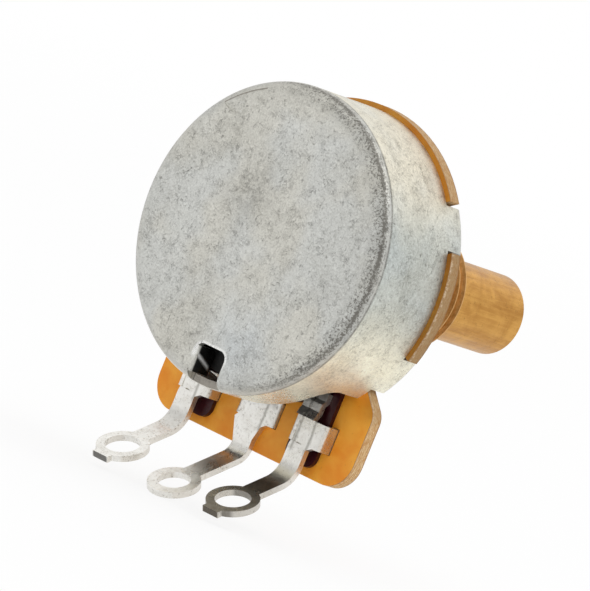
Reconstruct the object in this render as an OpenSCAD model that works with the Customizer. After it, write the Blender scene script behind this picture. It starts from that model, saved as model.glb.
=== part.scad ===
// Rotary potentiometer, 24 mm class: a drawn steel cover clinched to a phenolic wafer, a threaded
// brass bushing with a solid brass shaft, and three solder lugs bent backwards from the wafer's tongue.
// Every piece is drawn along a vertical axis, with the shaft's end up and the tongue towards -Y.
// in_frame() then lays that axis down, so that the shaft points along -Y and the tongue along -Z.
// The origin is on the shaft's axis, in the face that bears on the panel.

/* [Cover] */
// Outside diameter of the cover
cover_d = 23.8; // [23.4:0.1:25]
// Depth of the cover, from its back to the rim that rests on the wafer
cover_depth = 8.1; // [7.9:0.1:10]
// Thickness of the cover's sheet
cover_sheet = 0.5; // [0.4:0.05:0.6]
// Outside radius of the drawn corner round the back
cover_corner_r = 1.05; // [0.8:0.05:1.5]
// Width of each of the four tabs that fold over the wafer
tab_w = 3.5; // [2.5:0.1:4]
// Angle of each tab above or below the horizontal
tab_angle = 30; // [26:1:34]
// How far a folded tab reaches inwards from the cover's outside
tab_reach = 2.5; // [1.8:0.1:3]
// Width of the cut-out in the side wall, over the tongue
cutout_w = 16.8; // [16.6:0.1:17.4]
// Height of that cut-out above the wafer
cutout_h = 3.45; // [3:0.05:4]
// Corner radius of that cut-out
cutout_corner_r = 1.4; // [0.6:0.1:2]

/* [Stop window] */
// Width of the window in the cover's corner
window_w = 3.1; // [2.4:0.05:3.6]
// How far the window reaches inwards from the cover's outside
window_cut = 3; // [2.6:0.05:3.3]
// How far the window runs down the side wall from the back
window_drop = 0.7; // [0.6:0.05:1.4]
// Sideways place of the edge that the stop flap hangs from
flap_x = 1.2; // [0.8:0.05:1.5]
// Outside radius of the bend that the stop flap hangs from
flap_bend_r = 0.35; // [0.2:0.05:0.4]
// Depth of the stop flap below the cover's back
flap_depth = 2; // [1.7:0.05:2.25]
// Corner radius of the window and of the flap
window_corner_r = 0.7; // [0.3:0.05:0.8]

/* [Wafer] */
// How far the wafer's round edge stands out past the cover
wafer_overhang = 0.4; // [0.2:0.05:1]
// Thickness of the wafer
wafer_t = 1.1; // [1:0.05:1.4]
// How far each side of the tongue lies inside the cover's outside
tongue_inset = 1.4; // [0.9:0.05:1.9]
// How far the tongue reaches down past the cover's outside
tongue_reach = 3.5; // [3:0.1:4.6]
// Radius of the tongue's lower corners
tongue_corner_r = 2.3; // [1:0.1:3]
// Slope of the tongue's two shoulders, in degrees
shoulder_slope = 45; // [40:1:50]
// Radius that rounds each shoulder into the tongue's side
shoulder_r = 1.4; // [0.6:0.1:2]

/* [Front plate] */
// Radial gap between the plate's edge and the tabs
plate_gap = 0.2; // [0.1:0.05:0.6]
// Thickness of that plate
plate_t = 0.5; // [0.4:0.05:0.6]

/* [Bushing] */
// Outside diameter of the bushing's thread
bushing_d = 9.525; // [9.4:0.025:10]
// Length of the bushing in front of the panel face
bushing_len = 9.35; // [6:0.05:12]
// Diameter of the bushing's flange
flange_d = 14; // [12:0.1:15]
// Thickness of the flange, which sets the front plate back from the panel
flange_t = 1.3; // [1.2:0.05:2]
// Chamfer at the bushing's front end
bushing_chamfer = 0.4; // [0.2:0.05:0.6]
// Diameter of the recess for the retaining ring in that end
recess_d = 8; // [7.8:0.05:8.2]
// Wall of the bushing's tail where it passes through the plate and the wafer
tail_wall = 0.975; // [0.8:0.025:1.1]
// Height of the flared rim that rivets the tail behind the wafer
rivet_h = 0.5; // [0.4:0.05:0.7]

/* [Shaft] */
// Diameter of the shaft
shaft_d = 6.35; // [6:0.05:6.4]
// Distance of the shaft's end from the panel face
shaft_len = 19.05; // [15:0.05:30]
// Chamfer at the shaft's end
shaft_chamfer = 0.4; // [0.2:0.05:0.6]
// Radial running clearance of the shaft in its bushing
shaft_clearance = 0.05; // [0.02:0.01:0.08]
// Diameter of the retaining ring
ring_d = 7.6; // [7.4:0.05:7.7]
// Thickness of the retaining ring
ring_t = 0.6; // [0.4:0.05:0.8]
// Depth of the ring's groove in the shaft
groove_depth = 0.45; // [0.3:0.05:0.6]

/* [Rotor] */
// Turn of the shaft from one stop to the other, in degrees
travel = 300; // [270:5:310]
// Thickness of the rotor's disc
rotor_t = 1.8; // [1.5:0.05:1.85]
// Radial gap between the rotor and the cover
rotor_gap = 0.7; // [0.5:0.05:1]
// Radial width of the rotor's stop rib
stop_w = 1.2; // [1:0.1:1.6]
// Gap between the rotor's hub and the wiper's inner finger
hub_gap = 0.45; // [0.3:0.05:0.7]
// Diameter of the shaft's flatted tenon in the rotor
tenon_d = 5; // [4.4:0.1:5.4]
// Distance across the tenon's two flats
tenon_flats = 3.8; // [3.2:0.1:4.2]
// Thickness of the wiper's spring sheet
wiper_sheet = 0.25; // [0.2:0.01:0.3]
// Height of the space for the wiper, from the element to the rotor's disc
wiper_space = 3.3; // [3.25:0.05:4]
// Width of one wiper finger
finger_w = 0.7; // [0.5:0.05:0.8]

/* [Element] */
// Radial gap between the element's edge and the inside of the cover
element_rim_gap = 0.3; // [0.2:0.05:0.5]
// Gap between the collector ring and the element
element_in_gap = 0.325; // [0.2:0.025:0.5]
// Thickness of the element
element_t = 0.4; // [0.3:0.05:0.5]
// Width of the gap in the element, where the middle lug passes
element_gap = 5.4; // [5.2:0.1:5.8]
// Width of the element's two legs
leg_w = 3.1; // [2.7:0.1:3.3]
// Distance of each leg's centre from the middle
leg_x = 5.65; // [5.5:0.05:5.8]
// How far each leg runs on past the lug's own legs, to its round end
leg_overrun = 1.55; // [1.2:0.05:1.7]
// Distance from the element's inner edge to the middle of the band that the wiper rubs
track_inset = 1.5; // [1.3:0.05:1.7]
// Gap between the bushing's riveted rim and the collector ring
collector_gap = 0.225; // [0.15:0.025:0.3]
// Width of the collector ring
collector_w = 0.95; // [0.8:0.05:1]

/* [Lugs] */
// Distance between neighbouring lugs
lug_pitch = 6; // [5.95:0.01:6.05]
// Thickness of the lugs' sheet
lug_sheet = 0.5; // [0.4:0.05:0.6]
// Width of a lug's strip
lug_w = 1.75; // [1.5:0.05:2]
// Clear height under the plates of the two end lugs
bridge_h = 1; // [0.8:0.05:1.2]
// Angle of the bent lugs below the axis's direction
lug_slope = 31; // [20:1:45]
// Inside radius of an end lug's bend
end_bend_r = 2; // [1.2:0.1:2.4]
// Inside radius of the middle lug's bend
mid_bend_r = 1.2; // [1:0.1:2]
// How far above the tongue's lower edge the end lugs' bends start
end_bend_rise = 0.73; // [0:0.01:1]
// How far above the tongue's lower edge the middle lug's bend starts
mid_bend_rise = 0.14; // [0:0.01:0.4]
// Straight length from an end lug's bend to its eye
end_lug_len = 4.24; // [3.6:0.02:6]
// Straight length from the middle lug's bend to its eye
mid_lug_len = 5.83; // [4:0.01:7]
// Radius of the end lugs' eyes
end_eye_r = 1.38; // [1:0.02:1.5]
// Radius of the middle lug's eye
mid_eye_r = 1.26; // [1:0.02:1.5]
// Outside diameter of a lug's ring
eye_ring_d = 4.08; // [3.8:0.02:4.6]

/* [Hidden] */
$fn = 96;

// Overshoot of a cut past the surface that it opens
over = 1;
// Clearance of a fixed piece in its slot or hole
slot_gap = 0.05;
// Gap between two faces that slide on each other
slide_gap = 0.05;

// Heights along the axis, counted from the panel face towards the shaft's end
plate_front = -flange_t;
wafer_front = plate_front - plate_t;
wafer_rear = wafer_front - wafer_t;
element_face = wafer_rear - element_t;
collector_face = wafer_rear - lug_sheet;
cover_back = wafer_rear - cover_depth;
cover_inside = cover_back + cover_sheet;
cutout_top = wafer_rear - cutout_h;
rotor_front = element_face - wiper_space;
rotor_rear = rotor_front - rotor_t;
rivet_rear = wafer_rear - rivet_h;

cover_r = cover_d / 2;
cover_in_r = cover_r - cover_sheet;
wafer_r = cover_r + wafer_overhang;
tongue_half = cover_r - tongue_inset;
tongue_drop = cover_r + tongue_reach;
plate_r = cover_in_r - plate_gap;
window_in = cover_r - window_cut;
rotor_r = cover_in_r - rotor_gap;
shaft_r = shaft_d / 2;
bore_r = shaft_r + shaft_clearance;
tail_r = bore_r + tail_wall;
rivet_r = tail_r + 0.5;
// Each ring round the axis clears the one inside it
collector_in_r = rivet_r + collector_gap;
collector_r = collector_in_r + collector_w / 2;
collector_out_r = collector_in_r + collector_w;
element_in_r = collector_out_r + element_in_gap;
track_r = element_in_r + track_inset;
hub_r = collector_r - finger_w / 2 - hub_gap;

// Notch in the wafer for a tab
notch_floor = cover_in_r - 0.1;
notch_half = tab_w / 2 + 0.25;

// Angle of the stop flap about the axis, and half of the angle that it fills
flap_face = flap_x - flap_bend_r;
flap_mid_x = flap_face + cover_sheet / 2;
stop_out_r = rotor_r - 0.2;
stop_in_r = stop_out_r - stop_w;
flap_angle = atan2(-(stop_out_r + stop_in_r) / 2, flap_mid_x);
flap_half = asin(cover_sheet / 2 / stop_in_r);
// Spare angle between the rib and the flap at the end of the turn
stop_spare = 0.6;
stop_half = 180 - travel / 2 - flap_half - stop_spare;
// Gap between the stop rib and the inside of the cover's back
stop_gap = 0.4;

function polar(r, a) = [r * cos(a), r * sin(a)];

module in_frame() {
    rotate([90, 0, 0]) children();
}

// A slab of the 2D outline below it, from one height to another
module slab(low, high) {
    translate([0, 0, low]) linear_extrude(high - low) children();
}

module ring_2d(r_out, r_in) {
    difference() {
        circle(r_out);
        circle(r_in);
    }
}

// A wedge about +X that holds a sector of radius r and the given half angle
module sector_2d(r, half) {
    polygon([[0, 0], 2 * polar(r, -half), 2 * polar(r, half)]);
}

// A rectangle from corner a to corner b, with its corners rounded
module round_rect(a, b, r) {
    translate([a.x + r, a.y]) square([b.x - a.x - 2 * r, b.y - a.y]);
    translate([a.x, a.y + r]) square([b.x - a.x, b.y - a.y - 2 * r]);
    for (x = [a.x + r, b.x - r], y = [a.y + r, b.y - r]) translate([x, y]) circle(r, $fn = 48);
}

module rect(a, b) {
    translate(a) square([b.x - a.x, b.y - a.y]);
}

// The drawn cover

// Half section of the solid cup whose corner has radius r
module cup_section(radius, back, r) {
    rect([0, back], [radius - r, 0]);
    rect([0, back + r], [radius, 0]);
    translate([radius - r, back + r]) circle(r);
}

// Half section of a tab, from the rim to the end that is folded over the front plate
module tab_section() {
    fold_r = cover_sheet + 0.3;
    fold_top = plate_front + cover_sheet;
    difference() {
        union() {
            rect([cover_r - tab_reach, fold_top - cover_sheet], [cover_r - fold_r, fold_top]);
            rect([cover_in_r, wafer_rear], [cover_r, fold_top - fold_r]);
            translate([cover_r - fold_r, fold_top - fold_r]) intersection() {
                ring_2d(fold_r, fold_r - cover_sheet);
                square(fold_r);
            }
        }
        rect([0, cover_back], [cover_in_r, plate_front]);
    }
}

module tabs() {
    intersection() {
        rotate_extrude() tab_section();
        slab(wafer_rear, 0) for (a = [tab_angle, 180 - tab_angle, 180 + tab_angle, -tab_angle])
            rotate(a) rect([0, -tab_w / 2], [cover_r + over, tab_w / 2]);
    }
}

module cup() {
    difference() {
        rotate_extrude() intersection() {
            cup_section(cover_r, cover_back, cover_corner_r);
            rect([0, cover_back], [cover_r, wafer_rear]);
        }
        rotate_extrude() intersection() {
            cup_section(cover_in_r, cover_inside, cover_corner_r - cover_sheet);
            rect([0, cover_inside], [cover_r, wafer_rear + over]);
        }
    }
}

module tongue_cutout() {
    rotate([90, 0, 0]) linear_extrude(cover_r + over)
        round_rect([-cutout_w / 2, cutout_top], [cutout_w / 2, wafer_rear + 3 * cutout_corner_r],
                   cutout_corner_r);
}

module stop_window() {
    slab(cover_back - over, cover_back + window_drop)
        round_rect([flap_x - window_w, -cover_r - over], [flap_x, -window_in], window_corner_r);
}

// The flap lanced from the window and bent into the cover: its upper inner corner is rounded, and
// its lower end stands just off the side wall
module stop_flap() {
    reach = sqrt(pow(cover_in_r, 2) - pow(flap_face + cover_sheet, 2)) - 0.1;
    start = window_in + 0.3;
    corner_r = 0.5;
    low = cover_back + cover_sheet;
    high = cover_back + flap_depth;
    translate([flap_face, 0, 0]) rotate([90, 0, 90]) linear_extrude(cover_sheet) intersection() {
        round_rect([-reach - over, low - over], [-start, high], corner_r);
        rect([-reach, low], [-start, high]);
    }
    translate([0, -start, 0]) rotate([90, 0, 0]) linear_extrude(reach - start) {
        rect([flap_face, cover_back + flap_bend_r], [flap_x, low]);
        intersection() {
            translate([flap_x, cover_back + flap_bend_r]) circle(flap_bend_r);
            rect([flap_face, cover_back], [flap_x, cover_back + flap_bend_r]);
        }
    }
}

// A shallow half-moon struck in the back's edge
module struck_mark() {
    mark_depth = 0.08;
    mark_r = 2.2;
    translate(concat(polar(cover_r - 0.1, 57), cover_back - over))
        cylinder(r = mark_r, h = over + mark_depth);
}

module rear_cover() {
    color([0.76, 0.76, 0.74]) in_frame() {
        difference() {
            cup();
            tongue_cutout();
            stop_window();
            struck_mark();
        }
        tabs();
        stop_flap();
    }
}

// The phenolic wafer

// One notch for a tab, with the lower side splayed by an angle
module tab_notch_2d(splay) {
    depth = wafer_r - notch_floor + over;
    polygon([[notch_floor, -notch_half], [notch_floor, notch_half], [notch_floor + depth, notch_half],
             [notch_floor + depth, -notch_half - depth * tan(splay)]]);
}

module tongue_2d() {
    half = tongue_half;
    // The inner corner of the lower notch, where the shoulder starts
    neck = polar(norm([notch_floor, notch_half]), -tab_angle - atan2(notch_half, notch_floor));
    corner = neck.y - (half - neck.x) * tan(shoulder_slope);
    tangent = shoulder_r * tan((90 - shoulder_slope) / 2);
    turn = 90 - shoulder_slope;
    centre = [half - shoulder_r, corner - tangent];
    arc = [for (i = [0 : 4]) centre + polar(shoulder_r, turn * (1 - i / 4))];
    intersection() {
        round_rect([-half, -tongue_drop], [half, tongue_drop], tongue_corner_r);
        polygon(concat([neck], arc, [[half, -tongue_drop], [-half, -tongue_drop]],
                       [for (i = [4 : -1 : 0]) [-arc[i].x, arc[i].y]], [[-neck.x, neck.y]]));
    }
}

module wafer_2d() {
    difference() {
        union() {
            circle(wafer_r);
            tongue_2d();
        }
        circle(tail_r + slot_gap);
        for (side = [0, 1]) mirror([side, 0]) {
            rotate(tab_angle) tab_notch_2d(0);
            rotate(-tab_angle) tab_notch_2d(shoulder_slope - tab_angle);
        }
        end_slits_2d(-lug_pitch);
        end_slits_2d(lug_pitch);
        mid_slits_2d();
    }
}

module base_wafer() {
    color([0.86, 0.56, 0.22]) in_frame() slab(wafer_rear, wafer_front) wafer_2d();
}

// The steel plate between the wafer and the flange, held by the folded tabs
module front_plate() {
    color([0.72, 0.72, 0.7]) in_frame() slab(wafer_front, plate_front)
        ring_2d(plate_r, tail_r + slot_gap);
}

// The lugs' legs and the slits that they pass through

// How far above the tongue's lower edge the legs end
leg_rise = 2.2;
// Distances of a leg's two ends from the axis: it clears the front plate above
leg_top = plate_r;
leg_bottom = tongue_drop - leg_rise;
// Distance from the axis at which a lug narrows to its strip
waist = leg_bottom + 0.3;
// Distances of the lugs' bends from the axis
end_bend_drop = tongue_drop - end_bend_rise;
mid_bend_drop = tongue_drop - mid_bend_rise;
// Inside and outside radius of the bend at the top of a leg
leg_bend_in = 0.05;
leg_bend_r = lug_sheet + leg_bend_in;
// Distances from a lug's middle to the outer faces of its two legs
end_wing = 1.95;
end_edge = 1.35;
mid_wing = 2.2;
mid_edge = 1.9;
// Length of a leg's clinched foot
clinch_len = 0.9;

// Outline of a leg whose outer face is at x, on the side that sign gives
module leg_2d(x, sign, gap) {
    inner = x - sign * lug_sheet;
    rect([min(x, inner) - gap, -leg_bottom - gap], [max(x, inner) + gap, -leg_top + gap]);
}

module end_slits_2d(x) {
    leg_2d(x - end_wing, -1, slot_gap);
    leg_2d(x + end_edge, 1, slot_gap);
}

module mid_slits_2d() {
    leg_2d(-mid_wing, -1, slot_gap);
    leg_2d(mid_edge, 1, slot_gap);
}

// Section of a leg: the bend from the lug's sheet, the leg and the clinched foot on the wafer's front
module leg_section(x, sign, rear) {
    inner = x - sign * lug_sheet;
    fold = x + sign * clinch_len;
    rect([min(x, inner), rear + leg_bend_r], [max(x, inner), wafer_front + lug_sheet]);
    rect([min(x, fold), wafer_front], [max(x, fold), wafer_front + lug_sheet]);
    translate([x - sign * leg_bend_r, rear + leg_bend_r]) intersection() {
        ring_2d(leg_bend_r, leg_bend_in);
        rect([min(0, sign * leg_bend_r), -leg_bend_r], [max(0, sign * leg_bend_r), 0]);
    }
}

module leg(x, sign, rear) {
    translate([0, -leg_top, 0]) rotate([90, 0, 0]) linear_extrude(leg_bottom - leg_top)
        leg_section(x, sign, rear);
}

// The resistive element: a horseshoe with two legs under the end lugs

// One half of the horseshoe, with its leg
module element_half_2d() {
    leg_end_r = 0.9;
    gap_r = 0.4;
    element_r = cover_in_r - element_rim_gap;
    difference() {
        circle(element_r);
        circle(element_in_r);
        rect([-element_r - over, -element_r - over], [0, element_r + over]);
        round_rect([-element_gap / 2, -element_r - over], [element_gap / 2, 0], gap_r);
    }
    round_rect([leg_x - leg_w / 2, -leg_bottom - leg_overrun],
               [leg_x + leg_w / 2, -element_in_r - gap_r], leg_end_r);
}

module element_2d() {
    difference() {
        for (side = [0, 1]) mirror([side, 0]) element_half_2d();
        end_slits_2d(-lug_pitch);
        end_slits_2d(lug_pitch);
    }
}

module resistive_element() {
    color([0.2, 0.05, 0.06]) in_frame() slab(element_face, wafer_rear) element_2d();
}

// The three solder lugs

// Side view of a strip that runs down, bends back and ends in a slope.
// It starts at height top with its rear face at x = 0.
module strip_side(top, drop, bend_r, length) {
    turn = 90 - lug_slope;
    outer = bend_r + lug_sheet;
    rect([0, -drop], [lug_sheet, -top]);
    translate([-bend_r, -drop]) {
        intersection() {
            ring_2d(outer, bend_r);
            polygon([[0, 0], [2 * outer, 0], 2 * polar(outer, -turn)]);
        }
        rotate(-turn) translate([bend_r, -length]) square([lug_sheet, length]);
    }
}

// Places its children at the eye: their z = 0 lies in the sloping strip's upper face
module at_eye(rear, drop, bend_r, length) {
    translate([0, -drop, rear - bend_r]) rotate([90 - lug_slope, 0, 0])
        translate([0, -length, bend_r]) children();
}

// The bent tail of a lug: its strip, ring and eye
module lug_tail(x, rear, top, drop, bend_r, length, eye_r, nub) {
    nub_w = 1.6;
    nub_len = 0.3;
    translate([x, 0, 0]) difference() {
        union() {
            translate([lug_w / 2, 0, rear]) rotate([0, -90, 0]) linear_extrude(lug_w)
                strip_side(top, drop, bend_r, length);
            at_eye(rear, drop, bend_r, length) {
                cylinder(d = eye_ring_d, h = lug_sheet);
                if (nub) translate([-nub_w / 2, -eye_ring_d / 2 - nub_len, 0])
                    cube([nub_w, eye_ring_d / 2, lug_sheet]);
            }
        }
        at_eye(rear, drop, bend_r, length) translate([0, 0, -over])
            cylinder(r = eye_r, h = lug_sheet + 2 * over);
    }
}

// Side view of the end lug's finger: it steps down from the plate, runs level, and then steps down
// again onto the element
module finger_step_2d(rear) {
    step = 0.3;
    step_run = 0.7;
    level_rear = rear + step;
    level_end = leg_top - 1.3;
    foot_rear = element_face - lug_sheet;
    foot_start = level_end - 0.3;
    foot_end = foot_start - 0.6;
    // How far each bend of the front face lies below the one of the rear face
    lag = 0.1;
    polygon([[rear, -leg_top], [level_rear, step_run - leg_top], [level_rear, -level_end],
        [foot_rear, -foot_start], [foot_rear, -foot_end], [element_face, -foot_end],
        [element_face, -foot_start - lag], [level_rear + lug_sheet, -level_end - lag],
        [level_rear + lug_sheet, step_run - lag - leg_top], [rear + lug_sheet, -leg_top]]);
}

// An end lug: a plate that bridges the element's leg, with two legs and a spring finger
module end_lug(x, nub) {
    bridge = wafer_rear - bridge_h;
    rear = bridge - lug_sheet;
    // The plate's two sides, where the legs' bends start
    left = leg_bend_r - end_wing;
    right = end_edge - leg_bend_r;
    finger_x = [-0.5, 1.3];
    // The panel pressed into the plate, and the nick at its lower end
    panel_x = [-0.45, 0.72];
    panel_depth = 0.06;
    nick_half = 0.25;
    nick_depth = 0.2;
    translate([x, 0, 0]) {
        difference() {
            slab(rear, bridge) polygon([[left, -leg_top], [right, -leg_top], [right, -leg_bottom],
                [lug_w / 2, -waist], [lug_w / 2, -end_bend_drop], [-lug_w / 2, -end_bend_drop],
                [-lug_w / 2, -waist], [left, -leg_bottom]]);
            slab(rear - over, rear + panel_depth)
                rect([panel_x[0], -leg_bottom], [panel_x[1], -leg_top - 0.1]);
            slab(rear - over, rear + nick_depth)
                rect([-nick_half, -leg_bottom - 0.05], [nick_half, -leg_bottom + 0.05]);
        }
        leg(-end_wing, -1, rear);
        leg(end_edge, 1, rear);
        translate([finger_x[1], 0, 0]) rotate([0, -90, 0]) linear_extrude(finger_x[1] - finger_x[0])
            finger_step_2d(rear);
    }
    lug_tail(x, rear, waist, end_bend_drop, end_bend_r, end_lug_len, end_eye_r, nub);
}

module terminal_1() {
    color([0.8, 0.79, 0.75]) in_frame() end_lug(lug_pitch, true);
}

module terminal_3() {
    color([0.8, 0.79, 0.75]) in_frame() end_lug(-lug_pitch, true);
}

// The middle lug lies flat on the wafer and carries the collector ring
module terminal_2() {
    rear = collector_face;
    neck_w = 2.4;
    left = leg_bend_r - mid_wing;
    right = mid_edge - leg_bend_r;
    flare = 0.25;
    taper = 1.1;
    color([0.8, 0.79, 0.75]) in_frame() {
        slab(rear, wafer_rear) {
            ring_2d(collector_out_r, collector_in_r);
            rect([-neck_w / 2, -leg_top - slot_gap], [neck_w / 2, -collector_r]);
            polygon([[left, -leg_top], [right, -leg_top], [right, -leg_bottom], [right + flare, -waist],
                [lug_w / 2, -mid_bend_drop], [-lug_w / 2, -mid_bend_drop], [-lug_w / 2, -waist - taper],
                [-neck_w / 2, -waist], [left, -leg_bottom]]);
        }
        leg(-mid_wing, -1, rear);
        leg(mid_edge, 1, rear);
        lug_tail(0, rear, waist + taper, mid_bend_drop, mid_bend_r, mid_lug_len, mid_eye_r, false);
    }
}

// The bushing, the shaft and the rings on it

recess_floor = bushing_len - ring_t - 2 * slide_gap;

module bushing_section() {
    bushing_r = bushing_d / 2;
    polygon([[bore_r, recess_floor], [recess_d / 2, recess_floor], [recess_d / 2, bushing_len],
        [bushing_r - bushing_chamfer, bushing_len], [bushing_r, bushing_len - bushing_chamfer],
        [bushing_r, 0], [flange_d / 2, 0], [flange_d / 2, plate_front], [tail_r, plate_front],
        [tail_r, wafer_rear],
        [rivet_r, wafer_rear], [rivet_r - 0.2, rivet_rear], [bore_r + 0.3, rivet_rear],
        [bore_r, rivet_rear + 0.3]]);
}

module bushing() {
    color([0.8, 0.63, 0.35]) in_frame() rotate_extrude() bushing_section();
}

groove_low = recess_floor + slide_gap / 2;
groove_high = groove_low + ring_t + slide_gap;
groove_r = shaft_r - groove_depth;
tenon_r = tenon_d / 2;
head_t = 0.4;

module shaft_section() {
    polygon([[0, rotor_front], [shaft_r, rotor_front], [shaft_r, groove_low], [groove_r, groove_low],
        [groove_r, groove_high], [shaft_r, groove_high], [shaft_r, shaft_len - shaft_chamfer],
        [shaft_r - shaft_chamfer, shaft_len], [0, shaft_len]]);
}

module tenon_2d(gap) {
    intersection() {
        circle(tenon_r + gap);
        rect([-tenon_r - over, -tenon_flats / 2 - gap], [tenon_r + over, tenon_flats / 2 + gap]);
    }
}

module shaft() {
    color([0.82, 0.65, 0.36]) in_frame() {
        rotate_extrude() shaft_section();
        slab(rotor_rear, rotor_front) tenon_2d(0);
        // The end is spread over the rotor like a rivet
        slab(rotor_rear - head_t, rotor_rear) circle(tenon_r + 0.4);
    }
}

// An open ring that snaps into the shaft's groove
module retaining_ring() {
    mouth = 2 * groove_r * 0.9;
    low = groove_low + slide_gap / 2;
    color([0.45, 0.43, 0.4]) in_frame() slab(low, low + ring_t)
        difference() {
            ring_2d(ring_d / 2, groove_r + slide_gap);
            rect([-mouth / 2, 0], [mouth / 2, ring_d]);
        }
}

washer_in_r = shaft_r + 0.15;
washer_r = hub_r - 0.1;
washer_space = 0.55;
hub_front = rivet_rear - washer_space;

// A dished washer between the bushing's riveted rim and the rotor's hub: it takes up the end play
module spring_washer() {
    sheet = 0.2;
    front = rivet_rear - slide_gap;
    rear = hub_front + slide_gap / 2;
    color([0.7, 0.7, 0.72]) in_frame() rotate_extrude() polygon([[washer_in_r, front],
        [washer_in_r, front - sheet], [washer_r, rear], [washer_r, rear + sheet]]);
}

// The moulded rotor and the wiper

// The wiper's plate: its place on the rotor, its width and its gap to the rotor's rim
wiper_inset = 4.8;
wiper_plate_w = 1.9;
wiper_edge_gap = 0.3;
wiper_end = rotor_r - wiper_inset;
wiper_root = wiper_end - wiper_plate_w;
post_r = 0.45;
post_x = (wiper_root + wiper_end) / 2;
track_fingers = [track_r - 0.5, track_r + 0.5];
wiper_low = collector_r - finger_w / 2;
wiper_high = track_fingers[1] + finger_w / 2;
post_y = [wiper_low + 0.9, wiper_high - 0.9];

module rotor() {
    stop_top = cover_inside + stop_gap;
    stop_root = rotor_rear + rotor_t / 4;
    pocket_depth = rotor_t / 2;
    pocket_half = 24;
    wiper_face = rotor_front + wiper_sheet;
    color([0.13, 0.13, 0.14]) in_frame() {
        difference() {
            union() {
                slab(rotor_rear, rotor_front) circle(rotor_r);
                slab(rotor_front, hub_front - slide_gap) ring_2d(hub_r, shaft_r + slot_gap);
            }
            slab(rotor_rear - over, rotor_front + over) tenon_2d(slot_gap);
            // Moulded pockets between the ribs of the rear face
            for (a = [0 : 60 : 300]) rotate(a) slab(rotor_rear - over, rotor_rear + pocket_depth)
                intersection() {
                    ring_2d(stop_in_r - 0.4, hub_r + 0.4);
                    sector_2d(rotor_r, pocket_half);
                }
        }
        // The rib that meets the cover's flap at each end of the turn
        translate([0, 0, stop_top]) rotate(flap_angle + 180 - stop_half)
            rotate_extrude(angle = 2 * stop_half)
                rect([stop_in_r, 0], [stop_out_r, stop_root - stop_top]);
        // Posts melted over the wiper's plate
        for (y = post_y) translate([post_x, y, 0]) {
            slab(rotor_front, wiper_face) circle(post_r);
            slab(wiper_face, wiper_face + 0.3) circle(post_r + 0.3);
        }
    }
}

// One finger, seen from its side: it slopes from the plate to a round tip just off the face it rubs
module finger_side(face) {
    tip_r = 0.3;
    tip = face - slide_gap - tip_r;
    root = rotor_front + wiper_sheet / 2;
    translate([0, tip]) circle(tip_r, $fn = 32);
    translate([0, tip]) rotate(atan2(root - tip, wiper_root))
        rect([0, -wiper_sheet / 2], [norm([wiper_root, root - tip]), wiper_sheet / 2]);
}

module finger(y, face) {
    translate([0, y + finger_w / 2, 0]) rotate([90, 0, 0]) linear_extrude(finger_w) finger_side(face);
}

module wiper_contact() {
    color([0.78, 0.55, 0.3]) in_frame() {
        slab(rotor_front, rotor_front + wiper_sheet) difference() {
            intersection() {
                rect([wiper_root - wiper_sheet, wiper_low], [wiper_end, wiper_high]);
                circle(rotor_r - wiper_edge_gap);
            }
            for (y = post_y) translate([post_x, y]) circle(post_r + slot_gap);
        }
        for (y = track_fingers) finger(y, element_face);
        finger(collector_r, collector_face);
    }
}

rear_cover();
base_wafer();
front_plate();
resistive_element();
terminal_1();
terminal_2();
terminal_3();
bushing();
shaft();
retaining_ring();
spring_washer();
rotor();
wiper_contact();
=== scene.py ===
# %% [markdown]
# # A rotary potentiometer, seen from behind
#
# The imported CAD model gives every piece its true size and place. This notebook gives the pieces
# their finishes, cuts the bushing's thread, lights the object and sets the camera.
# Blender works in metres. The pieces' sizes are written in millimetres, and MM turns them into
# metres. The camera, the floor and the lamp are placed in metres.

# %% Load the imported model
import math

import bmesh
import bpy
from mathutils import Matrix, Vector


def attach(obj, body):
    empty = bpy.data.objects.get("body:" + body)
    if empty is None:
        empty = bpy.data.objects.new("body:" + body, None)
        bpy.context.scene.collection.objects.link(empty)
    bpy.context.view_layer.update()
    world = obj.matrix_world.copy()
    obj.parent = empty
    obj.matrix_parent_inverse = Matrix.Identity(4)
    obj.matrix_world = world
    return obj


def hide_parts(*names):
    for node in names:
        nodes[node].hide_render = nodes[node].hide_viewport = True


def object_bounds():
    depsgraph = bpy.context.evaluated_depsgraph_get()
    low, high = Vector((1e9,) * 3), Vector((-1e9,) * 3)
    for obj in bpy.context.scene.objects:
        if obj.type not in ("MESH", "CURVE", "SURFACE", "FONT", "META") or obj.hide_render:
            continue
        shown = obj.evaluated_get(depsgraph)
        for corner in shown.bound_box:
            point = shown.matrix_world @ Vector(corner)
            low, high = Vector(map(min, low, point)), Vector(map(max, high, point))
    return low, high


MM = 0.001
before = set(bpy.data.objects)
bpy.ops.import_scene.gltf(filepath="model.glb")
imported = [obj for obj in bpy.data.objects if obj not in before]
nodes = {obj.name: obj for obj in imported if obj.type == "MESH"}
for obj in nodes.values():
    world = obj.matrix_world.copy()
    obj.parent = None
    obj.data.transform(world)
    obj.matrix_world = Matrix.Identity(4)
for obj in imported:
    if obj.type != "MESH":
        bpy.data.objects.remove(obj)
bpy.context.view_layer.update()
print("pieces:", sorted(nodes))

# %% [markdown]
# ## The camera
#
# The picture was taken with a long lens from behind the cover and well to one side, with the
# camera tilted. The camera is given by its place, in metres, and by the three directions of its
# frame, so nothing has to be aimed by eye. The lens is written as a focal length in pixels of
# the picture, which is what a fit to a photograph gives.

# %% The camera
picture_px = 590.0
focal_px = 7018.6
sensor_mm = 36.0
view_right = Vector((-0.69569, -0.61148, 0.37698))
view_down = Vector((-0.32555, -0.19942, -0.92426))
view_ahead = Vector((0.64034, -0.76572, -0.06033))
camera_place = (-0.336892, 0.406905, 0.028378)

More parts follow.
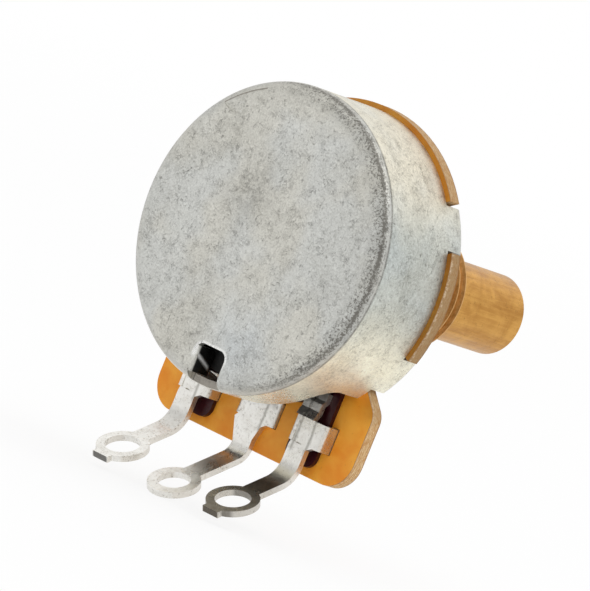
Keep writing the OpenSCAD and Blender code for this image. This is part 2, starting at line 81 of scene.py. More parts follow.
scene = bpy.context.scene
camera_data = bpy.data.cameras.new("camera")
camera = bpy.data.objects.new("camera", camera_data)
scene.collection.objects.link(camera)
scene.camera = camera
turn = Matrix((view_right, -view_down, -view_ahead)).transposed().to_4x4()
camera.matrix_world = Matrix.Translation(camera_place) @ turn
camera_data.sensor_fit = "HORIZONTAL"
camera_data.sensor_width = sensor_mm
camera_data.lens = sensor_mm * focal_px / picture_px
camera_data.clip_start = 0.01
camera_data.clip_end = 100.0
print("lens:", round(camera_data.lens, 1), "mm")

# %% [markdown]
# ## Writing a finish as sums
#
# A finish is a small program: noise gives a pattern, sums and limits shape it, and the result
# goes into a colour or a roughness. Drawn by hand that is a web of nodes. Here a Link wraps one
# socket and knows the signs of arithmetic, so the same web is written as ordinary sums.


# %% The Link class
class Link:
    """One output of a node. Sums on it add the Math nodes that they stand for."""

    def __init__(self, graph, socket):
        self.graph = graph
        self.socket = socket

    def math(self, operation, *others):
        """A Math node that takes this value first."""
        return self.graph.node("ShaderNodeMath", {"operation": operation}, (self, *others))

    def times(self, three):
        """A colour or a place times three numbers, each by its own."""
        return self.graph.node("ShaderNodeVectorMath", {"operation": "MULTIPLY"}, (self, three))

    def __add__(self, other):
        return self.math("ADD", other)

    def __sub__(self, other):
        return self.math("SUBTRACT", other)

    def __rsub__(self, other):
        return self.graph.node("ShaderNodeMath", {"operation": "SUBTRACT"}, (other, self))

    def __mul__(self, other):
        return self.math("MULTIPLY", other)

    def __truediv__(self, other):
        return self.math("DIVIDE", other)

    def __abs__(self):
        return self.math("ABSOLUTE")

    __radd__ = __add__
    __rmul__ = __mul__


print("helper: Link, sums of sockets")

# %% [markdown]
# All other nodes come from one method, which takes the node's type, its settings and what its
# sockets get. Every finish needs soft slopes and blends of colours, so they have a method each.


# %% The Graph class
class Graph:
    """A node tree that is filled from Python."""

    def __init__(self, tree):
        self.tree = tree
        tree.nodes.clear()

    def node(self, kind, settings=None, values=(), output=0):
        made = self.tree.nodes.new(kind)
        for name, value in (settings or {}).items():
            if name == "stops":
                self.set_stops(made.color_ramp, value)
            else:
                setattr(made, name, value)
        pairs = values.items() if isinstance(values, dict) else enumerate(values)
        for key, value in pairs:
            if isinstance(value, Link):
                self.tree.links.new(value.socket, made.inputs[key])
            else:
                made.inputs[key].default_value = value
        return Link(self, made.outputs[output]) if made.outputs else made

    def set_stops(self, ramp, stops):
        while len(ramp.elements) < len(stops):
            ramp.elements.new(1.0)
        for element, (place, colour) in zip(ramp.elements, stops):
            element.position = place
            element.color = (*colour, 1.0)

    def part(self, vector, axis):
        """The X, Y or Z of a vector."""
        return self.node("ShaderNodeSeparateXYZ", None, [vector], axis)

    def ease(self, value, start, end):
        """0 at start, 1 at end, and a soft slope between. Start may be the larger one."""
        settings = {"interpolation_type": "SMOOTHSTEP", "clamp": True}
        values = {"Value": value, "From Min": start, "From Max": end}
        return self.node("ShaderNodeMapRange", settings, values)

    def band(self, value, middle, width):
        """1 where a value is at the middle, fading to 0 at half the width on either side."""
        return 1 - self.ease(abs(value - middle), 0.0, width / 2)

    def blend(self, amount, first, second):
        """One colour over another. Plain colours are given as three numbers."""
        pair = [c if isinstance(c, Link) else (*c, 1.0) for c in (first, second)]
        values = {0: amount, 6: pair[0], 7: pair[1]}
        return self.node("ShaderNodeMix", {"data_type": "RGBA"}, values, output=2)


print("helper: Graph, a node tree filled from Python")

# %% [markdown]
# ## A material starts from a place on the piece
#
# A pattern could be painted on an unrolled copy of each piece. Every piece here sits at the
# origin, so its Object coordinates are true places in the frame, and a pattern that is worked
# out from them needs no unrolling and keeps its size. The Finish class turns them into
# millimetres and gives the patterns that all the finishes share. Numbers that are the same all
# over the surface are set on the shader itself.


# %% The Finish class
class Finish(Graph):
    """A material with its shader and the place on the piece, in millimetres."""

    def __init__(self, name, **constants):
        self.material = bpy.data.materials.new(name)
        self.material.use_nodes = True
        super().__init__(self.material.node_tree)
        self.shader = self.tree.nodes.new("ShaderNodeBsdfPrincipled")
        self.surface = self.tree.nodes.new("ShaderNodeOutputMaterial").inputs["Surface"]
        self.tree.links.new(self.shader.outputs[0], self.surface)
        for socket, value in constants.items():
            self.shader.inputs[socket.replace("_", " ")].default_value = value
        metres = self.node("ShaderNodeTexCoord", output="Object")
        self.place = metres.times((1 / MM, 1 / MM, 1 / MM))
        self.x, self.y, self.z = (self.part(self.place, axis) for axis in "XYZ")

    def noise(self, scale, detail=3.0, rough=0.5, warp=0.0, stretch=(1, 1, 1), shift=(0, 0, 0)):
        """Cloudy noise with clouds of about 1/scale millimetres."""
        values = {"Vector": self.place, "Location": shift, "Scale": stretch}
        where = self.node("ShaderNodeMapping", {"vector_type": "POINT"}, values)
        values = {"Vector": where, "Scale": scale, "Detail": detail, "Roughness": rough}
        values["Distortion"] = warp
        return self.node("ShaderNodeTexNoise", {"noise_dimensions": "3D"}, values)

    def from_axis(self):
        """Distance from the shaft's axis."""
        return (self.x * self.x + self.z * self.z).math("SQRT")

    def normal(self, axis):
        """How far the surface faces along an axis, from -1 to 1."""
        return self.part(self.node("ShaderNodeNewGeometry", output="Normal"), axis)

    def near(self, point, reach):
        """1 at a point, fading to 0 at the given distance."""
        apart = self.node("ShaderNodeVectorMath", {"operation": "DISTANCE"}, [self.place, point], 1)
        return 1 - self.ease(apart, 0.0, reach)

    def into(self, **links):
        for socket, link in links.items():
            self.tree.links.new(link.socket, self.shader.inputs[socket.replace("_", " ")])
        return self

    def bump(self, height, depth):
        """Raises the surface by height times depth, in millimetres."""
        values = {"Height": height, "Distance": depth * MM, "Strength": 1.0}
        made = self.node("ShaderNodeBump", None, values)
        self.tree.links.new(made.socket, self.shader.inputs["Normal"])
        return self

    def put_on(self, *pieces):
        for piece in pieces:
            piece.data.materials.clear()
            piece.data.materials.append(self.material)
        print(self.material.name, "on", [piece.name for piece in pieces])


print("helper: Finish, a material in millimetres")

# %% [markdown]
# ## Plated steel
#
# The cover is drawn from sheet and then plated, so it is a grey metal that is neither bright
# nor even. A picture of steel could be wrapped round it, but a cup can't be unrolled flat, so
# its patterns are noise in the object's own millimetres, which has no seams.
# Marks that belong to a part of the cover are placed by two distances: how far a point lies in
# from the side wall, and how far it lies ahead of the back.

# %% Places on the cover, in millimetres
cover_r = 11.9
cover_back = 11.0
window_middle = -0.35
window_half = 1.55
window_top = -8.9
window_corner = 0.7
flap_face = 0.85
streak_slope = 0.47
streak_at = -14.98
print("the window is", 2 * window_half, "mm wide and starts", -window_top, "mm below the axis")

# %% [markdown]
# Wide clouds come from the plating, fine specks, scores and short scratches from handling, and the
# bright specks are painted glints. Each is one noise with its own size of cloud. They are made once
# and kept with the material, because colour, roughness and bump have to agree on where they lie.


# %% The steel's patterns
class PlatedSteel(Finish):
    """Plated sheet, with the patterns that its colour, roughness and bump share."""

    def __init__(self, name):
        super().__init__(name)
        radius = self.from_axis()
        self.inward = cover_r - radius
        self.ahead = cover_back - self.y
        outward = (self.normal("X") * self.x + self.normal("Z") * self.z) / radius
        self.aside = self.ease(abs(outward), 0.7, 0.5)
        self.clouds = self.noise(0.20, 4, 0.6, 0.6)
        self.mottle = self.noise(1.0, 6, 0.7, 0.5, shift=(3, 1, 7))
        self.fine = self.noise(6.0, 4, 0.7)
        # The bright specks are painted glints
        self.glint_specks = self.ease(self.noise(5.2, 3, 0.7, shift=(4, 4, 4)), 0.62, 0.70)
        self.grains = self.ease(self.noise(3.4, 5, 0.75, 0.8), 0.58, 0.68)
        self.scores = self.ease(self.noise(1.5, 3, 0.6, 0.4, stretch=(1, 1, 6)), 0.60, 0.68)
        # A scratch lies where a noise crosses its middle value, mostly in patches
        crossing = self.band(self.noise(4.5, 4, 0.75, 0.5, shift=(8, 2, 1)), 0.5, 0.065)
        patches = self.ease(self.noise(0.9, 5, 0.75, shift=(2, 0, 5)), 0.50, 0.62)
        self.scratches = crossing * (patches * 0.8 + 0.2)


print("helper: PlatedSteel, the patterns of plated sheet")

# %% [markdown]
# The grey could be one colour. Real plating drifts, so three sizes of cloud are added up and
# looked up in a ramp of three greys, and a wide, faint drift makes it yellower here and bluer
# there.


# %% The grey of the plate
def plating(steel):
    tone = 0.5 + (steel.clouds - 0.5) * 0.8 + (steel.mottle - 0.5) * 0.7 + (steel.fine - 0.5) * 1.3
    stops = [(0.0, (0.42, 0.41, 0.37)), (0.5, (0.70, 0.695, 0.655)), (1.0, (0.86, 0.855, 0.81))]
    grey = steel.node("ShaderNodeValToRGB", {"stops": stops}, [tone])
    drift = steel.ease(steel.noise(0.16, 2, 0.5, shift=(1, 6, 2)), 0.40, 0.60)
    grey = steel.blend(drift, grey.times((1.01, 1.0, 0.965)), grey.times((0.985, 1.0, 1.01)))
    blue = steel.near((-1.5, cover_back, -7.5), 5.0)
    return steel.blend(blue * 0.7, grey, grey.times((0.97, 1.02, 1.11)))


print("helper: plating, the grey")

# %% [markdown]
# The corner round the back gets painted shade: two thin dark lines with a shaded band between
# them, broken by speckle and strongest on the side away from the window. Near the lugs it gets a
# painted highlight. Bands of the two distances draw all of this, so it follows the corner round.


# %% The corner round the back
def corner_shade_and_highlight(steel):
    """The corner's painted shade, and where it gets a painted highlight."""
    away = steel.ease(steel.x - steel.z * 0.35, 3.0, -6.5)
    shaded = steel.ease(steel.inward, 0.7, 0.3) * steel.ease(steel.ahead, 1.3, 1.1)
    inner = steel.band(steel.ahead, 0.50, 0.52) * steel.ease(steel.inward, 0.5, 0.3)
    outer = steel.band(steel.ahead, 1.15, 0.40) * steel.ease(steel.inward, 0.5, 0.2)
    speckle = steel.ease(steel.fine * 0.6 + steel.mottle * 0.4, 0.38, 0.54)
    lines = (inner * away * 1.2 + outer) * speckle
    # The band is painted shade, strongest on the side away from the window
    band_shade = steel.ease(steel.inward, 1.6, 0.5) * steel.ease(steel.ahead, 1.1, 0.7)
    band_shade = band_shade * steel.ease(steel.fine, 0.47, 0.60) * (0.25 + away * 0.95)
    # A painted highlight on the corner near the lugs
    corner_highlight = steel.band(steel.ahead, 0.75, 1.3) * steel.ease(steel.inward, 0.9, 0.6)
    corner_highlight = corner_highlight * steel.ease(steel.z, -4.0, -10.0) * (1 - away * 0.8)
    return shaded * (steel.mottle * 0.24 + 0.02) + lines * 0.65 + band_shade * 0.62, corner_highlight


print("helper: corner_shade_and_highlight, the rubbed corner")

# %% [markdown]
# The tool that bent the flap in has burnished the window's rim, which gets a painted highlight.
# The rim follows a rectangle with round corners, and the distance from such a rectangle is a short
# sum: how far a point lies past the straight parts, less the radius of the corners.


# %% The rim of the window
def window_rim_highlight(steel):
    beside = abs(steel.x - window_middle) - (window_half - window_corner)
    beside = beside.math("MAXIMUM", 0.0)
    above = (steel.z - (window_top - window_corner)).math("MAXIMUM", 0.0)
    outside = (beside * beside + above * above).math("SQRT") - window_corner
    # The rim's painted highlight
    rim = (1 - steel.ease(outside, 0.10, 0.28)) * steel.ease(steel.ahead, 0.10, 0.01)
    above_sill = steel.ease(steel.z, -10.4, -9.8)
    return rim * above_sill


print("helper: window_rim_highlight, the burnished rim")

# %% [markdown]
# Where the sheet was cut it is bare and darker. The cut faces could be picked by hand and given
# a material of their own. Here the surface's direction finds them: ahead of the corner, what
# doesn't look along a radius is a cut or the flap, and the window's sill is the only part of
# the wall that looks back. The flap that shows in the window is polished and painted nearly black
# as shade, and one bright streak across it is a painted reflection.


# %% The cut edges and the flap
def cut_edges(steel):
    edge = steel.aside * steel.ease(steel.ahead, 1.0, 1.2)
    sill = steel.ease(steel.normal("Y"), 0.96, 0.99) * steel.ease(steel.inward, 0.8, 0.7)
    return edge.math("MAXIMUM", sill)


def flap_shade_and_streak(steel):
    """The flap's face painted dark as shade, and the painted reflection across it."""
    flap = steel.aside * steel.band(steel.x, flap_face, 0.1) * steel.ease(steel.z, -8.6, -9.0)
    # The bright streak is a painted reflection
    bright_streak = steel.band(steel.z - steel.y * streak_slope, streak_at, 0.62)
    return flap, bright_streak * flap * steel.ease(steel.y, 9.0, 9.4)


print("helpers: cut_edges and flap_shade_and_streak")

# %% [markdown]
# The side wall mirrors what is round it, and part of that is painted: its middle is painted cooler
# and darker, and its upper and lower parts warmer, the lower one brighter too, as painted
# reflections. Underneath it is smoother, so that it mirrors the amber board.


# %% The side wall
def wall_painted_reflections(steel, colour):
    """The colour with the wall's painted reflections, and the smooth part underneath."""
    wall = steel.ease(steel.inward, 0.10, 0.02) * steel.ease(steel.ahead, 1.0, 1.3)
    upper = wall * steel.ease(steel.z, 3.0, 9.0)
    lower = wall * steel.ease(steel.z, 0.5, -6.5)
    middle = wall * (1 - lower) * (1 - upper)
    # Painted reflections: cooler and darker in the middle, warmer above, brighter and warmer below
    colour = steel.blend(middle * 0.9, colour, colour.times((0.80, 0.85, 0.86)))
    colour = steel.blend(upper * 0.6, colour, colour.times((1.20, 1.12, 0.95)))
    colour = steel.blend(lower, colour, colour.times((1.36, 1.30, 1.13)))
    return colour, wall * steel.ease(steel.z, -8.0, -10.5)


print("helper: wall_painted_reflections, the tints of the wall")

# %% [markdown]
# All of it is now laid over the grey, one after the other, the marks and the painted light alike.
# The plate in front of the wafer is the same steel with half the dirt and painted shade.


# %% The cover and the front plate
def plated_steel(name, dirt_and_shade):
    steel = PlatedSteel(name)
    corner, corner_highlight = corner_shade_and_highlight(steel)
    rim = window_rim_highlight(steel)
    # A smudge near the middle of the back
    smudge = steel.near((2.0, cover_back, 3.2), 3.4) * steel.ease(steel.mottle, 0.44, 0.58)
    dark = steel.grains * 0.52 + steel.scratches * 0.52 + steel.scores * 0.10 + smudge * 0.45
    # The corner's painted shade joins the marks, and both are scaled together
    dark = ((dark + corner) * dirt_and_shade).math("MINIMUM", 0.9)
    # Painted glints: bright specks laid over the grey
    colour = steel.blend(steel.glint_specks * 0.5, plating(steel), (0.98, 0.98, 0.96))
    colour = steel.blend(dark, colour, (0.15, 0.14, 0.12))
    # Painted highlight on the window's rim
    colour = steel.blend(rim * 0.7, colour, (1.0, 1.0, 0.98))
    # Painted highlight on the corner near the lugs
    colour = steel.blend(corner_highlight * 0.6, colour, (0.98, 0.95, 0.86))
    # Painted reflections on the side wall
    colour, underneath = wall_painted_reflections(steel, colour)
    bare = steel.blend(steel.fine, (0.12, 0.105, 0.085), (0.40, 0.36, 0.31))
    colour = steel.blend(cut_edges(steel) * 0.8, colour, bare)
    flap, bright_streak = flap_shade_and_streak(steel)
    # The flap is painted nearly black as shade, and the streak is a painted reflection
    colour = steel.blend(flap * 0.93, colour, (0.006, 0.006, 0.006))
    colour = steel.blend(bright_streak, colour, (1.0, 1.0, 0.98))
    rough = 0.36 + (steel.mottle - 0.5) * 0.2 + steel.grains * 0.15 + bright_streak * 0.25
    rough = rough - rim * 0.1 - underneath * 0.12
    steel.into(Base_Color=colour, Roughness=rough, Metallic=0.9 - bright_streak * 0.9)
    raised = steel.clouds * 0.4 + steel.mottle * 0.15 + steel.fine * 0.22
    sunk = steel.grains * 0.15 + steel.scratches * 0.25 + steel.scores * 0.08
    return steel.bump(raised - sunk, 0.14)


plated_steel("plated_steel_worn", 1.0).put_on(nodes["rear_cover"])
plated_steel("plated_steel_clean", 0.5).put_on(nodes["front_plate"])

# %% [markdown]
# ## Phenolic board
#
# The wafer is punched from resin-bonded paper: amber and smooth on its faces, paler and fibrous
# where it was cut. Two materials could do it, one on the faces and one on the edges. One
# material that asks the surface which way it looks needs no picking of faces.

# %% The wafer's faces and edges
wafer_middle = 2.35
board = Finish("phenolic_board", IOR=1.5, Specular_IOR_Level=0.3)
face = board.ease(abs(board.normal("Y")), 0.4, 0.6)
paper = board.noise(0.35, 5, 0.6, 0.3)
specks = board.ease(board.noise(6.0, 3, 0.6), 0.64, 0.74)
fibres = board.noise(2.6, 6, 0.75, 0.5, stretch=(1, 4, 1))
face_colour = board.blend(board.ease(paper, 0.3, 0.7), (0.88, 0.285, 0.012), (0.98, 0.44, 0.045))
face_colour = board.blend(specks * 0.25, face_colour, (0.45, 0.12, 0.01))
edge_colour = board.blend(board.ease(fibres, 0.38, 0.62), (0.55, 0.26, 0.07), (0.82, 0.60, 0.33))
outer_sheets = board.ease(abs(board.y - wafer_middle), 0.40, 0.54)
edge_colour = board.blend(outer_sheets * 0.75, edge_colour, (0.30, 0.11, 0.02))
board_colour = board.blend(face, edge_colour, face_colour)
print("the wafer's middle lies", wafer_middle, "mm behind the flange")

# %% [markdown]
# Round the cover the board is painted darker brown as shade, most of all beside the bushing, where
# its edge is also scuffed pale. Shade has no clear outline, so soft slopes along x and z place it.

# %% The wafer's painted shade
beside = board.ease(board.x, -8.0, -11.0)
beside = beside * board.ease(board.z, 6.5, 5.0) * board.ease(board.z, -10.5, -8.5)
above_tongue = board.ease(board.z, -9.0, -6.0) * 0.15 + board.ease(board.z, 3.5, 5.5) * 0.22
# Painted shade round the cover
cover_shade = (beside * 0.5 + above_tongue) * (0.7 + fibres * 0.6)
shade_brown = board.blend(face, (0.26, 0.15, 0.06), (0.10, 0.045, 0.008))
board_colour = board.blend(cover_shade, board_colour, shade_brown)
scuffs = board.band(board.y, 2.72, 0.5) * board.ease(board.noise(3.5, 3, 0.7), 0.45, 0.60)
scuffs = scuffs * beside * (1 - face)
board_colour = board.blend(scuffs * 0.6, board_colour, (0.85, 0.70, 0.50))
board.into(Base_Color=board_colour, Roughness=0.6 - face * 0.2)
board.bump(fibres * (1 - face) + paper * 0.1, 0.08)
board.put_on(nodes["base_wafer"])

# %% [markdown]
# ## The resistive strip
#
# A dark maroon film on card. One dark colour would look like a hole, so it gets a soft shine,
# a slight grain and a few specks of dust.

# %% The element
film = Finish("resistive_film", IOR=1.5, Specular_IOR_Level=0.35)
grain = film.noise(5.0, 4, 0.6)
dust = film.ease(film.noise(9.0, 2, 0.5), 0.68, 0.78)
film_colour = film.blend(grain, (0.022, 0.001, 0.003), (0.055, 0.004, 0.009))
film_colour = film.blend(dust * 0.25, film_colour, (0.35, 0.2, 0.15))
film.into(Base_Color=film_colour, Roughness=0.32 + dust * 0.3)
film.bump(grain, 0.02)
film.put_on(nodes["resistive_element"])

# %% [markdown]
# ## Tinned lugs
#
# The lugs are brass sheet under a thin coat of tin. The tin is pale and speckled on the flat
# plates, and it cracks and tarnishes where the sheet was bent. The three could share one
# material, but on the real part they have aged differently. One function makes all three, and
# takes what differs: how far the bend and the tail are tarnished, where the plate's creases get
# painted shade, and where the tail's end is darker.


# %% The lugs
def tinned(name, bend_at, bend_tarnish, tail_tarnish, creases, darker_end=None):
    tin = Finish(name, Metallic=0.9)
    clouds = tin.noise(0.8, 4, 0.6, 0.5)
    speckle = tin.ease(tin.noise(5.5, 4, 0.7), 0.56, 0.70)
    scratch = tin.ease(tin.noise(2.0, 4, 0.6, 0.3, stretch=(4, 1, 1)), 0.60, 0.70)
    colour = tin.blend(tin.ease(clouds, 0.3, 0.7), (0.74, 0.72, 0.67), (0.93, 0.92, 0.88))
    # The cut sides of the sheet are browner and more speckled
    side = tin.ease(abs(tin.normal("X")), 0.6, 0.8)
    colour = tin.blend(side * 0.35, colour, (0.62, 0.55, 0.45))
    colour = tin.blend(speckle * (0.35 + side * 0.25), colour, (0.22, 0.18, 0.13))
    colour = tin.blend(scratch * 0.3, colour, (0.34, 0.31, 0.26))
    # Thin dark lines painted as shade in the plate's creases
    plate = tin.ease(tin.y, 5.9, 5.5) * tin.ease(tin.z, -14.2, -13.6) * (1 - side)
    across = tin.x + (clouds - 0.5) * 0.3
    lines = plate * sum(tin.band(across, place, 0.42) for place in creases)
    colour = tin.blend(lines * 0.55, colour, (0.16, 0.15, 0.12))
    # The tail's end face, and what faces down near it, is made darker
    if darker_end:
        end = tin.ease(tin.near(darker_end, 1.1), 0.10, 0.35) * tin.ease(tin.normal("Z"), -0.1, -0.3)
        colour = tin.blend(end * 0.85, colour, (0.05, 0.045, 0.04))
    bend = tin.near(bend_at, 2.6) * bend_tarnish
    tail = tin.ease(tin.y, 4.6, 7.0) * tail_tarnish
    dark = (bend + tail) * (0.5 + clouds) * (1 - side * 0.7) + plate * tail_tarnish * 0.14
    colour = tin.blend(dark.math("MINIMUM", 0.9), colour, (0.10, 0.08, 0.055))
    tin.into(Base_Color=colour, Roughness=0.30 + (clouds - 0.5) * 0.3 + speckle * 0.15)
    return tin.bump(clouds * 0.5 + speckle * 0.15, 0.08)


first_lug = tinned("tin_first", (6.0, 5.0, -16.0), 0.2, 0.0, [5.2], (6.0, 10.9, -20.0))
middle_lug = tinned("tin_middle", (0.0, 5.8, -16.9), 0.4, 0.0, [-1.1])
third_lug = tinned("tin_third", (-6.0, 5.8, -16.6), 0.45, 0.75, [-5.5, -6.9], (-6.0, 10.9, -20.0))
first_lug.put_on(nodes["terminal_1"])
middle_lug.put_on(nodes["terminal_2"])
third_lug.put_on(nodes["terminal_3"])

# %% [markdown]
# ## Turned brass
#
# The shaft and the bushing are turned from bar. The shaft was drawn lengthwise before that, so
# its marks run along it, and handling has left brown patches. Real grooves would be finer than
# the mesh can hold, so the marks are noise that is stretched in one direction.


# %% The brass
def brass_finish(name, stretch, dull, clean):
    brass = Finish(name, Metallic=0.95)
    lines = brass.noise(2.4, 6, 0.7, 0.2, stretch=stretch)
    patches = brass.noise(0.45, 5, 0.65, 0.8)
    pits = brass.ease(brass.noise(3.5, 4, 0.7), 0.58, 0.70)
    tone = brass.ease(0.5 + (lines - 0.5) * 1.1 + (patches - 0.5) * 1.3, 0.15, 0.85)
    colour = brass.blend(pits * 0.45, brass.blend(tone, dull, clean), (0.20, 0.09, 0.02))
    brass.into(Base_Color=colour, Roughness=0.34 + (patches - 0.5) * 0.3 + pits * 0.1)
    return brass.bump(lines * 0.6 + patches * 0.4, 0.08)


shaft_brass = brass_finish("brass_bar", (1, 0.06, 1), (0.46, 0.215, 0.045), (0.68, 0.37, 0.095))
shaft_brass.put_on(nodes["shaft"])

# %% [markdown]
# ## The hidden parts
#
# The turning parts inside the cover are only glimpsed through the window and from the front, so
# each gets a plain finish with little more than its colour, its shine and a slight grain.

# %% Moulded black, spring steel and spring bronze
moulded = Finish("moulded_black", IOR=1.5)
skin = moulded.noise(6.0, 4, 0.6)
moulded.into(Base_Color=moulded.blend(skin, (0.030, 0.030, 0.032), (0.085, 0.083, 0.080)))
moulded.into(Roughness=0.40 + skin * 0.2).bump(skin, 0.02)
moulded.put_on(nodes["rotor"])


def spring_sheet(name, first, second):
    sheet = Finish(name, Metallic=1.0)
    heat = sheet.noise(1.5, 4, 0.6, 0.5)
    lines = sheet.noise(8.0, 3, 0.6, 0.0, stretch=(0.2, 1, 1))
    sheet.into(Base_Color=sheet.blend(heat, first, second), Roughness=0.26 + lines * 0.2)
    return sheet.bump(lines, 0.01)


spring_steel = spring_sheet("spring_steel", (0.28, 0.27, 0.26), (0.45, 0.43, 0.40))
spring_steel.put_on(nodes["retaining_ring"], nodes["spring_washer"])
spring_bronze = spring_sheet("spring_bronze", (0.55, 0.32, 0.14), (0.75, 0.50, 0.25))
spring_bronze.put_on(nodes["wiper_contact"])

# %% [markdown]
# ## The bushing and its thread
#
# The thread has 32 turns to the inch. The Screw modifier could sweep one groove, but its ends
# would stick out and would have to be cut. A screw thread is one outline that climbs as it
# turns, a shape that follows a rule, so Geometry Nodes bend a flat grid into it: one way along
# the grid is the turn, the other way is the outline of one groove. A small chamfer limits the
# radius near both ends, and what would run past an end is laid on a circle in its plane.

# %% Sizes of the bushing
thread_pitch = 25.4 / 32
thread_r = 4.7625
groove_depth = 0.61343 * thread_pitch
crest_share = 0.125
flank_share = 0.625
bushing_len = 9.35
thread_chamfer = 0.15
end_r = 4.26
steps_round = 144
steps_across = 16
thread_turns = math.ceil(bushing_len / thread_pitch) + 1
print("thread turns:", thread_turns, " groove depth:", round(groove_depth, 3), "mm")


# %% The thread's sizes as inputs
def thread_inputs():
    """A new node tree, and its sizes as links."""
    tree = bpy.data.node_groups.new("screw_thread", "GeometryNodeTree")
    face = tree.interface
    sizes = ("Pitch", "Outside Radius", "Groove Depth", "End Radius", "Length", "Chamfer", "Turns")
    for name in sizes:
        face.new_socket(name=name, in_out="INPUT", socket_type="NodeSocketFloat")
    face.new_socket(name="Material", in_out="INPUT", socket_type="NodeSocketMaterial")
    face.new_socket(name="Mesh", in_out="OUTPUT", socket_type="NodeSocketGeometry")
    graph = Graph(tree)
    entry = graph.node("NodeGroupInput").socket.node
    return graph, {socket.name: Link(graph, socket) for socket in entry.outputs if socket.name}


print("helper: thread_inputs, the sizes that can be set")


# %% The rule of the thread
def thread_tree():
    graph, size = thread_inputs()
    points = {"Vertices X": steps_round * thread_turns + 1, "Vertices Y": steps_across + 1}
    grid = graph.node("GeometryNodeMeshGrid", None, {"Size X": 1.0, "Size Y": 1.0, **points})
    spot = graph.node("GeometryNodeInputPosition")
    turns = (graph.part(spot, "X") + 0.5) * size["Turns"]
    across = graph.part(spot, "Y") + 0.5
    climb = (turns + across - 1) * size["Pitch"]
    past = (0 - climb).math("MAXIMUM", climb - size["Length"]).math("GREATER_THAN", 1e-6)
    along = climb.math("MAXIMUM", 0.0).math("MINIMUM", size["Length"])
    # The outline: a flat crest, two flanks at 60 degrees and a wider flat root
    fall = (abs(across * 2 - 1) - crest_share) / flank_share
    fall = graph.node("ShaderNodeClamp", None, [fall, 0.0, 1.0])
    radius = size["Outside Radius"] - size["Groove Depth"] * fall
    edge = size["Outside Radius"] - size["Chamfer"]
    radius = radius.math("MINIMUM", edge + along.math("MINIMUM", size["Length"] - along))
    radius = radius + (size["End Radius"] - radius) * past
    angle = turns * (2 * math.pi)
    place = [radius * angle.math("SINE"), 0 - along, radius * angle.math("COSINE")]
    where = graph.node("ShaderNodeCombineXYZ", None, place)
    wound = graph.node("GeometryNodeSetPosition", None, {"Geometry": grid, "Position": where})
    welded = graph.node("GeometryNodeMergeByDistance", None, {"Geometry": wound, "Distance": 1e-6})
    # Nothing here is an instance, but the export drops instances, so every tree ends like this
    real = graph.node("GeometryNodeRealizeInstances", None, {"Geometry": welded})
    painted = {"Geometry": real, "Material": size["Material"]}
    painted = graph.node("GeometryNodeSetMaterial", None, painted)
    graph.node("NodeGroupOutput", None, {"Mesh": painted})
    return graph.tree


print("helper: thread_tree, the grid bent into a thread")


# %% Wind the thread
def from_tree(name, tree, inputs):
    """Runs a node tree on an empty mesh and returns the plain mesh that it makes."""
    carrier = bpy.data.objects.new(name, bpy.data.meshes.new(name))
    scene.collection.objects.link(carrier)
    modifier = carrier.modifiers.new(name, "NODES")
    modifier.node_group = tree
    for item in tree.interface.items_tree:
        if item.in_out == "INPUT" and item.name in inputs:
            modifier[item.identifier] = inputs[item.name]
    bpy.context.view_layer.update()
    ready = carrier.evaluated_get(bpy.context.evaluated_depsgraph_get())
    mesh = bpy.data.meshes.new_from_object(ready)
    bpy.data.objects.remove(carrier)
    return mesh


bushing_brass = brass_finish("brass_turned", (1, 2.5, 1), (0.48, 0.26, 0.085), (0.72, 0.44, 0.18))
thread_mesh = from_tree(
    "thread",
    thread_tree(),
    {
        "Pitch": thread_pitch * MM,
        "Outside Radius": thread_r * MM,
        "Groove Depth": groove_depth * MM,
        "End Radius": end_r * MM,
        "Length": bushing_len * MM,
        "Chamfer": thread_chamfer * MM,
        "Turns": float(thread_turns),
        "Material": bushing_brass.material,
    },
)
print("thread:", len(thread_mesh.polygons), "faces")

# %% [markdown]
# The rest of the bushing is turned, so it is one outline swept round the axis. The thread could
# just be laid over a cylinder, but then each would show through the other. Here the outline
# meets the thread's two end circles point by point, and the two are welded into one piece.

# %% The outline of the rest
bushing_outline = [
    (end_r, bushing_len), (4.0, bushing_len), (4.0, 8.65), (3.225, 8.65), (3.225, -3.1),
    (3.525, -3.4), (4.5, -3.4), (4.7, -2.9), (4.2, -2.9), (4.2, -1.3), (6.85, -1.3),
    (7.0, -1.15), (7.0, -0.15), (6.85, 0.0), (end_r, 0.0),
]


def swept(outline, steps):
    """Sweeps (radius, distance ahead) points round the shaft's axis, in millimetres."""
    mesh = bmesh.new()
    angles = [2 * math.pi * k / steps for k in range(steps)]
    rings = [
        [mesh.verts.new((r * math.sin(a) * MM, -ahead * MM, r * math.cos(a) * MM)) for a in angles]
        for r, ahead in outline
    ]
    for inner, outer in zip(rings, rings[1:]):
        for k in range(steps):
            n = (k + 1) % steps
            mesh.faces.new((inner[k], inner[n], outer[n], outer[k]))
    return mesh


print("outline:", len(bushing_outline), "points")

# %% Turn it and weld it on
shell = swept(bushing_outline, steps_round)
shell.from_mesh(thread_mesh)
bmesh.ops.remove_doubles(shell, verts=shell.verts, dist=2e-6)
bmesh.ops.dissolve_degenerate(shell, edges=shell.edges, dist=1e-7)
bmesh.ops.holes_fill(shell, edges=shell.edges, sides=4)
bmesh.ops.recalc_face_normals(shell, faces=shell.faces)
open_edges = [edge for edge in shell.edges if len(edge.link_faces) != 2]
bushing_mesh = bpy.data.meshes.new("bushing_threaded")
for polygon in shell.faces:
    polygon.smooth = True
shell.to_mesh(bushing_mesh)
shell.free()
bushing_mesh.set_sharp_from_angle(angle=math.radians(20))
bushing = bpy.data.objects.new("bushing_threaded", bushing_mesh)
scene.collection.objects.link(bushing)
bushing_brass.put_on(bushing)
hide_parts("bushing")
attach(bushing, "housing")
print("bushing:", len(bushing_mesh.polygons), "faces,", len(open_edges), "open edges")

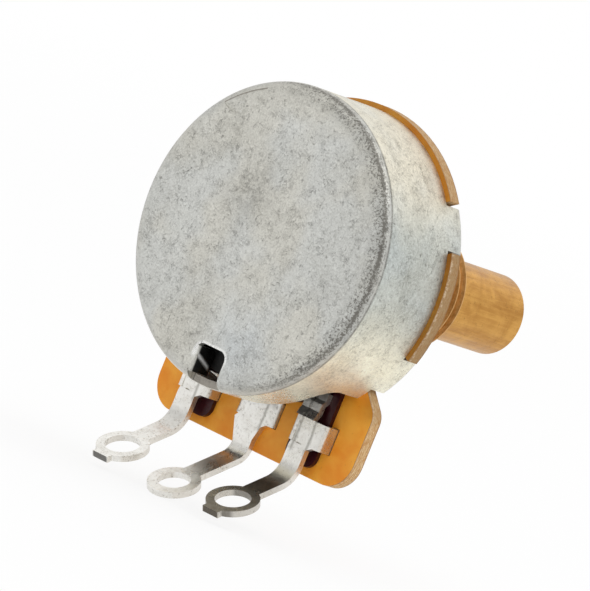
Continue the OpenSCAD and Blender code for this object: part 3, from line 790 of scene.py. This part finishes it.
# %% [markdown]
# ## The studio
#
# The object stands in a white tent. A picture of a studio could light it, but a few slopes of
# brightness do the same without a file. A tent that is equally bright all round would make
# metal look like paper, so this one is brightest overhead and dimmer behind the camera's right
# side. The camera and the metal see the same tent. Its foot is as white as the floor, so no
# horizon shows.

# %% World
scene.view_settings.view_transform = "Standard"
world = bpy.data.worlds.new("tent")
world.use_nodes = True
scene.world = world
tent = Graph(world.node_tree)
way = tent.node("ShaderNodeTexCoord", output="Generated")


def towards(direction, start, end):
    """1 where the tent lies in a direction, easing to 0 away from it."""
    unit = Vector(direction).normalized()
    cosine = tent.node("ShaderNodeVectorMath", {"operation": "DOT_PRODUCT"}, [way, tuple(unit)], 1)
    return tent.ease(cosine, start, end)


cloth = 0.72
beside_and_above = towards((-0.5, -0.6, 0.6), 0.0, 0.95) * 0.22
overhead = towards((0.4, -0.1, 0.9), 0.4, 0.95) * 0.30
shade = towards((-0.93, 0.36, 0.0), 0.72, 0.97) * 0.50
glow = cloth + beside_and_above + overhead - shade
foot = 1 - tent.ease(abs(tent.part(way, "Z")), 0.045, 0.09)
glow = glow + (1 - glow) * foot
light = tent.node("ShaderNodeBackground", None, {"Color": (1, 1, 1, 1), "Strength": glow})
tent.node("ShaderNodeOutputWorld", None, [light])
print("tent:", len(world.node_tree.nodes), "nodes")

# %% [markdown]
# The floor is a wide pale sheet right under the lugs. Part of its brightness is its own, for the
# camera and for reflections, so it looks white and still keeps the object's soft shadow. That
# part grows with the distance, and far away the floor is as white as the tent's foot.

# %% Floor
floor_half = 20.0
own_light = 0.84
own_starts, own_full = 60.0, 900.0
floor_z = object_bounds()[0][2]
floor_mesh = bpy.data.meshes.new("floor")
signs = [(-1, -1), (1, -1), (1, 1), (-1, 1)]
corners = [(x * floor_half, y * floor_half, floor_z) for x, y in signs]
floor_mesh.from_pydata(corners, [], [(0, 1, 2, 3)])
floor = bpy.data.objects.new("floor", floor_mesh)
scene.collection.objects.link(floor)
pale = Finish("floor_white", Roughness=0.9)
pale.shader.inputs["Base Color"].default_value = (0.9, 0.9, 0.9, 1)
ray = pale.node("ShaderNodeLightPath", output="Is Camera Ray")
for kind in ("Is Glossy Ray", "Is Transmission Ray"):
    ray = ray.math("MAXIMUM", pale.node("ShaderNodeLightPath", output=kind))
shine = pale.node("ShaderNodeEmission", None, {"Color": (1, 1, 1, 1), "Strength": 1.0})
distance = pale.node("ShaderNodeVectorMath", {"operation": "LENGTH"}, [pale.place], 1)
own = own_light + pale.ease(distance, own_starts, own_full) * (1 - own_light)
lit = Link(pale, pale.shader.outputs[0])
both = pale.node("ShaderNodeMixShader", None, [ray * own, lit, shine])
pale.tree.links.new(both.socket, pale.surface)
pale.put_on(floor)
print("floor at", round(floor_z / MM, 2), "mm")

# %% [markdown]
# One large square lamp above the object, to the camera's right, gives the shadow its direction.
# A small lamp or a sun would give hard shadows and sharp glints, which a tent doesn't have.


# %% Lamps
def softbox(name, place, size, brightness):
    """A square lamp aimed at the object. Brightness is how bright its face looks."""
    data = bpy.data.lights.new(name, "AREA")
    data.shape = "SQUARE"
    data.size = size
    data.energy = brightness * math.pi * size * size
    lamp = bpy.data.objects.new(name, data)
    scene.collection.objects.link(lamp)
    lamp.location = place
    lamp.rotation_euler = (-Vector(place)).to_track_quat("-Z", "Y").to_euler()
    print(name, "lamp:", round(data.energy, 3), "W")


softbox("key", (-0.35, -0.15, 0.55), 0.45, 1.2)
